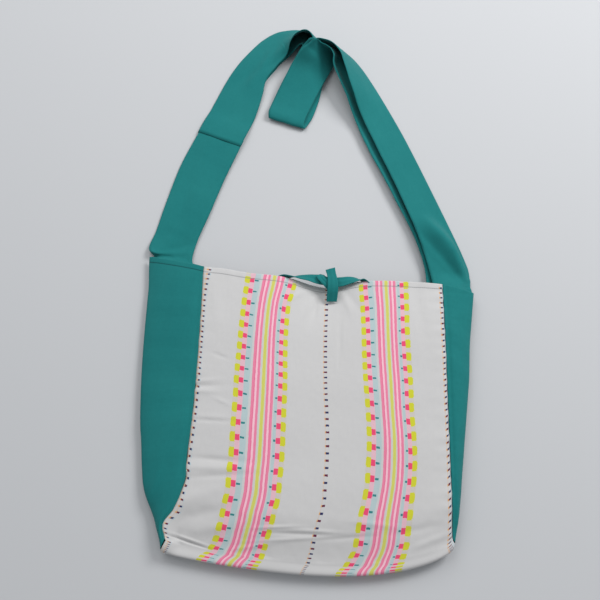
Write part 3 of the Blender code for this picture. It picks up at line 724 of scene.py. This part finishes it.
# One panel from its seam with the front, over the crease and under to its seam with the back, with waves, a
# pressed-in seam, the left one's stitched hem and the slanting fold near its foot.
def makeGusset(name, side, mat):
    v = np.concatenate([np.linspace(0, 0.03, 8), np.linspace(0.03, 1, 150)[1:]])
    grid = roundSection(*gussetLines(v, side), bag["panelSteps"])
    t = np.linspace(0, 1, grid.shape[1])[None]
    vColumn = v[:, None]
    down = vColumn * bag["height"]
    off = np.linalg.norm(grid - grid[:, :1], axis=2)
    relief = -1.6 * mm * bell(off, 3.5 * mm, 3 * mm)
    relief += 0.5 * mm * ripples(off, down, 31 + side, 6, 120 * mm, 40 * mm) * smooth(off / (12 * mm))
    relief += 0.12 * mm * ripples(off, down, 35 + side, 8, 30 * mm, 9 * mm)
    if side < 0:
        relief += 0.3 * mm * (1 - smooth((down - 8 * mm) / (1.5 * mm)))
        relief -= 0.4 * mm * bell(down, bag["panelHem"], 0.9 * mm)
        slant = off - 0.30 * (down - 300 * mm)
        relief += 1.2 * mm * bell(slant, 40 * mm, 5 * mm) * smooth((vColumn - 0.7) / 0.15)
    onTop = 1 - smooth((t - 0.42) / 0.08)
    grid[..., 2] += relief * onTop * (1 - smooth((vColumn - 0.96) / 0.04))
    footGap = 3 * mm / bag["height"] / (1 - v[-2])  # the last row stops short of the base
    grid[-1] += (grid[-2] - grid[-1]) * min(footGap, 1.0)
    grid[..., 2] = np.maximum(grid[..., 2], clothThickness * smooth((vColumn - 0.92) / 0.04))
    hemThickness = 1.0 if side < 0 else 0.3  # the strap lies over the right one
    piece = clothPiece(name + "_cloth", grid, mat, name, 2 * clothThickness, flip=side > 0,
                       rowShare=np.where(v < bag["hemShare"], hemThickness, 0.5))


# Strap

strap = {
    "width": 60 * mm,  # folded
    "foldRadius": 0.8 * mm,
    "lapStation": 6,
    "lapDepth": 12 * mm,
    "lapPitch": 62 * mm,  # length of the station at the lap
    "layerSteps": 14,
    "turnSteps": 6,
    "perStation": 10,
    "underStations": (15, 23.5),  # the flap that lies below, and the run that is draped over it
    "overStations": (25.5, 34),
    "drapeGap": 2.2 * mm,
    "spreadTurns": 20,
    "roundTurns": 8,
    "turnStations": (12, 35),  # the top of the loop, where valleys are less deep
    "lastFold": 24,  # station at which the folds end
    "endIn": np.array([3, -6]) * mm,  # from the left side panel's top corner to the band's end
    "curlFrom": 0.68,  # share of the width at which the free edge starts to curl, and the share that curls
    "curlOver": 0.32,
    "shortSeed": 47,
    "longSeed": 41,
    "curl": [(0, 0), (34, 0), (36, 6), (38, 8.5), (41, 9), (45, 8), (47, 3), (48, 0)],  # station, then mm
}
# Stations from the left side panel to the right one: x and y of the lengthwise crease and its height (mm),
# bearing and lift of the band from it and the opening of its two layers (degrees), and what the first and
# second layer are wider than the nominal width (mm).
route = [
    (-209, 366.5, 2.6, -17, 0, 0, -2, -2), (-218, 389, 2.4, -17, 0, 0, 4, -2),
    (-226, 406, 0.6, -17, 0, 0, 7, -2), (-218, 436, 0, -17, 0, 0, 5, -2),
    (-207, 482, 0, -18, 0, 0, 10, -2), (-188, 550, 0, -21, 0, 0, 14, -2),
    (-163, 610, 0, -22, 0, 0, 13, -2), (-139, 669, 0, -25, 0, 0, 12, -2),
    (-121, 712, 0, -27, 1, 2, 6, -2), (-103, 746, 0, -36, 2, 4, -2, -4), (-81, 776, 0, -46, 4, 6, -2, -4),
    (-62, 797, 0, -56, 6, 8, 0, -4), (-40, 812, 0, -70, 10, 10, 0, -4), (-20, 817, 0, -86, 17, 12, 0, -4),
    (-3, 818, 0, -99, 26, 15, 2, -4), (12, 814, 0, -107, 37, 18, 2, -6),
    (25, 804, 0, -112, 44, 22, 0, -8), (34, 790, 0, -119, 33, 20, -2, -8),
    (40, 769, 0, -140, 8, 8, -2, -6), (42, 746, 0, -160, 2, 2, 0, -2), (40, 722, 0, -172, 0, 0, 0, 0),
    (35, 696, 0, -180, 0, 0, 0, 0), (29, 670, 0, -188, 0, 0, 0, 0), (20, 642, 0, -195, 0, 0, 0, 0),
    (12, 626, 0, -199, 0, 0, 0, 0), (6, 617, 3, -200, 0, 0, 0, 0), (5, 625, 6.2, -201, 0, 0, 0, 0),
    (12, 645, 6.2, -203, 0, 0, 0, 0), (25, 674, 7.5, -204, 4, 1, 0, 0), (38, 701, 8.5, -205, 11, 2, 0, 0),
    (48, 722, 6.5, -204, 27, 5, 0, 0), (55, 740, 3.0, -197, 42, 7, 0, -2),
    (61, 757, 0.6, -180, 51, 7, -1, -2), (66, 768, 0, -158, 53, 5, -2, -2),
    (73, 771, 0, -136, 54, 6, -2, -2), (84, 761, 0, -133, 49, 11, -2, 0),
    (95, 747, 0, -144, 42, 20, -2, 2), (109, 724, 0, -153, 34, 22, -2, 2),
    (129, 684, 0, -161, 24, 18, -4, 2), (148, 642, 0, -161, 9, 14, -8, 2),
    (166, 600, 0, -159, 6, 12, -8, 4), (185, 551, 0, -158, 6, 12, -8, 2),
    (205, 497, 0, -158, 6, 12, -8, 0), (225, 442, 0, -158, 6, 12, -6, -2),
    (243, 390, 0, -161, 5, 10, -2, 2), (252, 352, 0.8, -168, 4, 8, 0, 8),
    (243, 334, 4.2, -170, 1, 3, -4, 2), (236, 320, 6.2, -170, 0, 2, -10, -4),
]
routeLeftEnd = np.array([-222.5, 382]) * mm
routeRightEnd = np.array([253.5, 324]) * mm


def routeAt(s):  # the route as a curve through its stations, moved so that its ends meet the side panels
    rows = through(np.column_stack([np.arange(len(route)), np.array(route, float)]), s)
    share = (np.asarray(s) / (len(route) - 1))[:, None]
    left = creaseLeft(np.array([0.0]))[0][:2] + strap["endIn"] - routeLeftEnd
    right = creaseRight(np.array([0.0]))[0][:2] - routeRightEnd
    place = rows[:, :3] * mm
    place[:, :2] += left * (1 - share) + right * share
    return place, np.radians(rows[:, 3:6]), strap["width"] + rows[:, 6:8] * mm


# First layer from its free edge to the crease, half a circle round it, then the second layer. Each layer
# stands off the crease at half the opening, on its own side, and the second one's free edge curls up.
def strapGrid(s, wrap, raised):
    place, angles, widths = routeAt(s)
    place[:, 2] += raised
    bearing, lift, openAngle = angles.T
    out = np.stack([np.cos(bearing) * np.cos(lift), np.sin(bearing) * np.cos(lift), np.sin(lift)], -1)
    radius = strap["foldRadius"] + clothThickness / 2 + wrap
    place[:, 2] = np.maximum(place[:, 2], 0) + radius + clothThickness / 2
    along = np.gradient(place + out * strap["width"] / 2, axis=0)
    across = np.cross(out, along)
    across /= np.linalg.norm(across, axis=1)[:, None]
    half = openAngle[:, None] / 2
    shares = np.linspace(0, 1, strap["layerSteps"] + 1)
    curling = smooth((shares - strap["curlFrom"]) / strap["curlOver"])
    layers = []
    for sign, layer in ((1, 0), (-1, 1)):
        run = (out * np.cos(half) + sign * across * np.sin(half)) * widths[:, layer, None]
        root = place + sign * across * radius[:, None]
        curl = layer * np.interp(s, *np.array(strap["curl"], float).T)[:, None] * mm * across
        layers.append([root + run * share + curl * curled for share, curled in zip(shares, curling)])
    turnAngles = np.linspace(0, math.pi, strap["turnSteps"] + 1)[1:-1]
    turn = [
        place + radius[:, None] * (across * math.cos(angle) - out * math.sin(angle)) for angle in turnAngles
    ]
    grid = np.stack(layers[0][::-1] + turn + layers[1], 1)
    grid[:, :, 2] = np.maximum(grid[:, :, 2], clothThickness / 2)
    return grid


# Raises points to the clearance over other cloth. The lifts then spread to their neighbours' mean, at first
# only upwards and at last freely, which rounds them.
def drape(grid, over, clearance):
    tree = BVHTree.FromPolygons(over.reshape(-1, 3).tolist(), gridQuads(over).tolist())
    lifts = np.zeros(grid.shape[:2])
    for r, c in np.ndindex(lifts.shape):
        x, y, z = grid[r, c]
        hit = tree.ray_cast(Vector((x, y, 1.0)), Vector((0, 0, -1)))[0]
        if hit:
            lifts[r, c] = max(0, hit.z + clearance - z)
    lifts = np.maximum(lifts, lifts[:, ::-1])
    for turn in range(strap["spreadTurns"] + strap["roundTurns"]):
        padded = np.pad(lifts, 1, mode="edge")
        around = (padded[:-2, 1:-1] + padded[2:, 1:-1] + padded[1:-1, :-2] + padded[1:-1, 2:]) / 4
        lifts = np.maximum(lifts, around) if turn < strap["spreadTurns"] else around
    raised = grid.copy()
    raised[:, :, 2] += lifts
    return raised


# Folds on the strap's upper layer, as frontFolds.
strapFolds = [
    (-30, 770, 60, 22, 6, -2.2), (-44, 745, 42, 26, 5, 1.6), (-58, 748, 70, 24, 5, -1.8),
    (-24, 752, 20, 16, 4, 1.4), (-78, 712, 62, 22, 8, -2.0), (-88, 726, 55, 24, 6, 1.2),
    (-62, 728, 40, 14, 4, -1.2), (-120, 640, 70, 40, 8, 1.0), (-150, 580, 64, 46, 9, -1.0),
    (-182, 470, 80, 50, 9, 1.0), (-196, 420, 60, 26, 7, -1.4), (-186, 405, 20, 24, 5, 1.6),
    (22, 740, 70, 30, 8, 0.9), (4, 660, 68, 34, 9, -0.9), (98, 690, -52, 40, 7, 1.2),
    (140, 600, -66, 50, 8, 1.0),
]
# By y, mm: how far the notch on the left takes the upper layer's crease in, how far the crease puffs up
# there, and how far the crease swings out to the corner on the right.
notch = [(376, 0), (385, -2), (388, -9), (393, -9), (395, 0), (399, 1.5), (408, 0.5), (420, 0)]
puff = [(384, 5), (388, 0), (392, 0), (395, 6), (403, 4.2), (428, 0)]
cheek = [(316, 0), (322, 7), (328, 12), (334, 10), (340, 5.5), (347, 1), (356, -1.5), (372, 0)]
# The long fold above the right corner: its valley runs from the first point to the second, and its slope
# rises to a ridge beside it.
longFold = {"top": (190, 408), "foot": (250, 334), "width": 24 * mm, "height": 15 * mm}


# For each column, its share of the width from the crease, and how far it is the first layer's: 1 on that
# layer, falling to 0 round the crease.
def strapShares():
    steps, turns = strap["layerSteps"] + 1, strap["turnSteps"]
    t = np.concatenate([np.linspace(1, 0, steps), np.zeros(turns - 1), np.linspace(0, 1, steps)])
    first = np.concatenate([np.ones(steps), np.linspace(1, 0, turns + 1)[1:-1], np.zeros(steps)])
    return t[None], first[None]


# Moves points along their normals: shallow waves on both layers, and the folds on the upper one up to the
# flap. Round the top of the loop a valley is less deep.
def strapRelief(grid, s, seed):
    t, first = strapShares()
    steps = strap["layerSteps"] + 1
    toCrease = steps + strap["turnSteps"] // 2 - 1
    side = np.concatenate([np.ones(toCrease), [0], -np.ones(toCrease)])[None]
    along = np.insert(np.linalg.norm(np.diff(grid[:, steps], axis=0), axis=1).cumsum(), 0, 0)[:, None]
    relief = 0.30 * mm * ripples(along, t * strap["width"], seed, 7, 90 * mm, 22 * mm)
    relief += 0.10 * mm * ripples(along, t * strap["width"], seed + 1, 8, 20 * mm, 8 * mm)
    folds = foldHeights(grid[..., 0], grid[..., 1], strapFolds)
    start, end = strap["turnStations"]
    flat = ((s < start) | (s > end))[:, None]
    folded = (s < strap["lastFold"])[:, None]
    folds = np.where(flat | (folds > 0), folds, 0.4 * folds) * first
    relief = relief * side * smooth(t / 0.15) + folds * smooth(t / 0.2) * folded
    moved = grid + gridNormals(grid) * relief[..., None]
    moved[:, :, 2] = np.maximum(moved[:, :, 2], clothThickness / 2)
    return moved


# The left end steps in at the notch. The right end swings out to the corner, and its upper layer is
# lifted over the side panel's hem, which falls away under the strap's free edge.
def shapeEnds(grid, side):
    t, first = strapShares()
    y = grid[..., 1] / mm  # as in the tables
    near = (1 - t) ** 1.5
    if side < 0:
        grid[..., 0] -= np.interp(y, *np.array(notch, float).T) * mm * near * first
        grid[..., 2] += np.interp(y, *np.array(puff, float).T) * mm * near * first
    else:
        grid[..., 0] += np.interp(y, *np.array(cheek, float).T) * mm * near
        steps = bag["panelSteps"]
        hem = roundSection(*gussetLines(np.array([0.0, 0.01]), 1), steps)[0][:steps]
        top = np.interp(grid[..., 0], hem[:, 0], hem[:, 2]) - 2.2 * mm
        top -= 0.5 * np.maximum(hem[0, 0] - grid[..., 0], 0)
        onHem = (1 - smooth((y - 322) / 42)) * smooth(t / 0.3) * first
        grid[..., 2] += np.maximum(top - grid[..., 2], 0) * onHem


# The valley runs from top to foot. Beside it the cloth slopes up to a ridge at the fold's width, and then
# down to the crease. Width and height shrink towards the foot.
def foldAcross(grid):
    t, first = strapShares()
    top, foot = np.array(longFold["top"]) * mm, np.array(longFold["foot"]) * mm
    length = np.linalg.norm(foot - top)
    run = (foot - top) / length
    away = grid[..., :2] - top
    along = away @ run
    off = away @ np.array([-run[1], run[0]])
    width = longFold["width"] * (1 - 0.65 * smooth((along - 20 * mm) / (length - 20 * mm)))
    amount = longFold["height"] * smooth((along + 55 * mm) / (60 * mm))
    amount = amount * (1 - 0.8 * smooth((along - 30 * mm) / length))
    amount = amount * (1 - smooth((along - length + 6 * mm) / (10 * mm)))
    share = off / width
    slope = smooth(share) * 0.5 + np.clip(share, 0, 1) * 0.5
    rise = np.where(share < 1, slope, 1 - smooth((share - 1) / 0.9))
    lip = 0.12 * bell(share, -0.12, 0.16)
    right = grid[..., 0] > 120 * mm
    grid[..., 2] += amount * (rise + lip) * smooth(t / 0.18) * first * right


# Two lengths of the band. The long one wraps round the short one's end at the lap, and its top is draped
# over the flap that is folded under it, until it nears the right run.
def makeStrap(mat):
    lapStation, step = strap["lapStation"], 1 / strap["perStation"]
    lapEnd = lapStation + strap["lapDepth"] / strap["lapPitch"]
    oneCloth = clothThickness + seamGap
    shortAt = np.append(np.arange(0, lapEnd, step), lapEnd)
    short = strapGrid(shortAt, np.zeros_like(shortAt), oneCloth * smooth((shortAt - lapStation + 0.8) / 0.7))
    longAt = np.arange(lapStation, len(route) - 1 + step / 2, step)
    long = strapGrid(longAt, oneCloth * (1 - smooth((longAt - lapEnd - 0.1) / 0.5)), 0)
    under = (longAt > strap["underStations"][0]) & (longAt < strap["underStations"][1])
    over = (longAt > strap["overStations"][0]) & (longAt < strap["overStations"][1])
    draped = drape(long[over], long[under], clothThickness + strap["drapeGap"])
    ending = smooth((longAt[over] - strap["overStations"][1] + 2.5) / 2)[:, None, None]
    long[over] = draped * (1 - ending) + long[over] * ending
    long = strapRelief(long, longAt, strap["longSeed"])
    short = strapRelief(short, shortAt, strap["shortSeed"])
    shapeEnds(short, -1)
    shapeEnds(long, 1)
    foldAcross(long)
    for node, grid in (("strap_short", short), ("strap_long", long)):
        name = node + "_band"
        piece = clothPiece(name, grid, mat, node, clothThickness, offset=0)


# Ties

# Each part's stations: x, y and height of its middle (mm), bearing and lift of its width (degrees), and
# the share of the ribbon's width.
ties = {
    "width": 15 * mm,
    "left": [
        (-62, 341, 9, 90, 0, 1), (-48, 346, 11, 90, -24, 1), (-38, 350.5, 13, 90, -72, 1),
        (-26, 352.5, 15, 90, -100, 1), (-13, 352.5, 18, 90, -78, 1), (-1, 351, 20.5, 90, -52, 1),
        (12, 349, 23, 89, -34, 1), (22, 346.5, 24.5, 86, -14, 1), (30, 345, 25, 84, 0, 1),
        (38, 343, 25, 84, 0, 0.9), (46, 341, 23, 84, 0, 0.8),
    ],
    "right": [
        (135, 337, 8.5, 90, 0, 1), (118, 338, 9, 90, 0, 1), (109, 341, 12.5, 90, -24, 1),
        (101, 344.5, 15, 90, -66, 1), (93, 347, 17.5, 90, -86, 1), (83, 347.5, 19.5, 90, -52, 1),
        (72, 346, 20.5, 90, -26, 1), (62, 343.8, 20.5, 90, -8, 1), (55, 342.8, 20.5, 93, 0, 1),
        (49, 342.5, 20, 96, 0, 0.95), (42, 342, 19, 96, 0, 0.9),
    ],
    "lobe": [
        (33, 355, 19, 8, -50, 0.7), (29.5, 351.5, 26, 12, -25, 0.66), (30, 347, 28.8, 22, -8, 0.68),
        (34, 342, 29.2, 32, 0, 0.62), (39.5, 336.5, 28.5, 42, 12, 0.68), (45, 332, 25, 48, 22, 0.7),
    ],
    "ends": [
        (44, 360.5, 29.5, 198, 6, 0.96), (44.5, 357, 29.4, 192, 4, 0.92), (45.5, 352, 29.8, 184, 0, 0.88),
        (46.5, 346, 31, 181, 0, 0.92), (47, 340, 31.5, 181, 0, 0.98), (47.2, 333, 31, 181, 0, 1.02),
        (46.8, 326, 28.5, 180, 0, 1.04), (46.2, 319, 24, 180, 0, 1.02), (45.6, 313, 20, 180, 0, 0.98),
    ],
}


# Points across the ribbon's width at tenths of each station, on a curve through them. Across it the
# ribbon has three shallow waves, and its edges bend down.
def ribbon(stations):
    keyed = np.column_stack([np.arange(len(stations)), np.array(stations, float)])
    rows = through(keyed, np.arange(0, len(stations) - 0.95, 0.1))
    bearing, lift = np.radians(rows[:, 3:5]).T
    across = np.stack([np.cos(bearing) * np.cos(lift), np.sin(bearing) * np.cos(lift), np.sin(lift)], -1)
    half = (rows[:, 5] * ties["width"] / 2)[:, None]
    shares = np.linspace(-1, 1, 13)
    grid = np.stack([rows[:, :3] * mm + across * half * share for share in shares], 1)
    waves = 0.3 * mm * np.cos(shares * 6.6) - 0.5 * mm * shares ** 4
    return grid + gridNormals(grid) * waves[None, :, None]


def makeTie(side, mat):
    for part in {"left": ("left", "lobe", "ends"), "right": ("right",)}[side]:
        grid = ribbon(ties[part])
        name = "tie_" + side + ("_ribbon" if part == side else "_" + part)
        piece = clothPiece(name, grid, mat, "tie_" + side, clothThickness, offset=0)


# Camera, floor and light

stage = {
    "floorSize": 8,
    "floorDrop": 0.4 * mm,  # below the bag
    "floorColour": (0.53, 0.54, 0.555, 1),
    "floorRoughness": 0.95,
    "cameraHeight": 0.887,
    "cameraTilt": 20,  # degrees from straight down
    "lens": 38.4,
    "sensor": 36,
    "lights": [  # name, place, size and power
        ("window", (1.5, 1.2, 1.7), 1.0, 44),
        ("room", (-0.6, 1.2, 1.7), 1.8, 20),
    ],
    "airColour": (0.95, 0.97, 1.0, 1),
    "airStrength": 0.42,
}


def setFloor():
    bpy.ops.mesh.primitive_plane_add(size=stage["floorSize"], location=(0, 0, -stage["floorDrop"]))
    floor = bpy.context.object
    floor.name = "floor"
    paper = clothMaterial("floor paper", stage["floorRoughness"])[0]
    paper.node_tree.nodes["Principled BSDF"].inputs["Base Color"].default_value = stage["floorColour"]
    floor.data.materials.append(paper)


def setCamera():
    camera = bpy.data.objects.new("camera", bpy.data.cameras.new("camera"))
    bpy.context.scene.collection.objects.link(camera)
    camera.location = (layoutShift[0], layoutShift[1], stage["cameraHeight"])
    camera.rotation_euler = (math.radians(stage["cameraTilt"]), 0, 0)
    camera.data.lens = stage["lens"]
    camera.data.sensor_width = stage["sensor"]
    bpy.context.scene.camera = camera


def setLights():
    for name, place, size, power in stage["lights"]:
        light = bpy.data.lights.new(name, "AREA")
        light.size = size
        light.energy = power
        lamp = bpy.data.objects.new(name, light)
        bpy.context.scene.collection.objects.link(lamp)
        lamp.location = place
        lamp.rotation_euler = (-Vector(place)).to_track_quat("-Z", "Y").to_euler()
    world = bpy.data.worlds.new("soft room")
    world.use_nodes = True
    air = world.node_tree.nodes["Background"]
    air.inputs["Color"].default_value = stage["airColour"]
    air.inputs["Strength"].default_value = stage["airStrength"]
    bpy.context.scene.world = world
    bpy.context.scene.view_settings.view_transform = "Standard"


print("stage")
setFloor()
setCamera()
setLights()
print("materials")
canvasMat = makeCanvas("teal canvas")
panelMat = makeCanvas("teal canvas panel", bag["panelHem"])
cottonMat = makeCotton()
print("pieces")
makeBodyCloth(cottonMat)
makeGusset("gusset_left", -1, panelMat)
makeGusset("gusset_right", 1, canvasMat)
makeStrap(canvasMat)
makeTie("left", canvasMat)
makeTie("right", canvasMat)
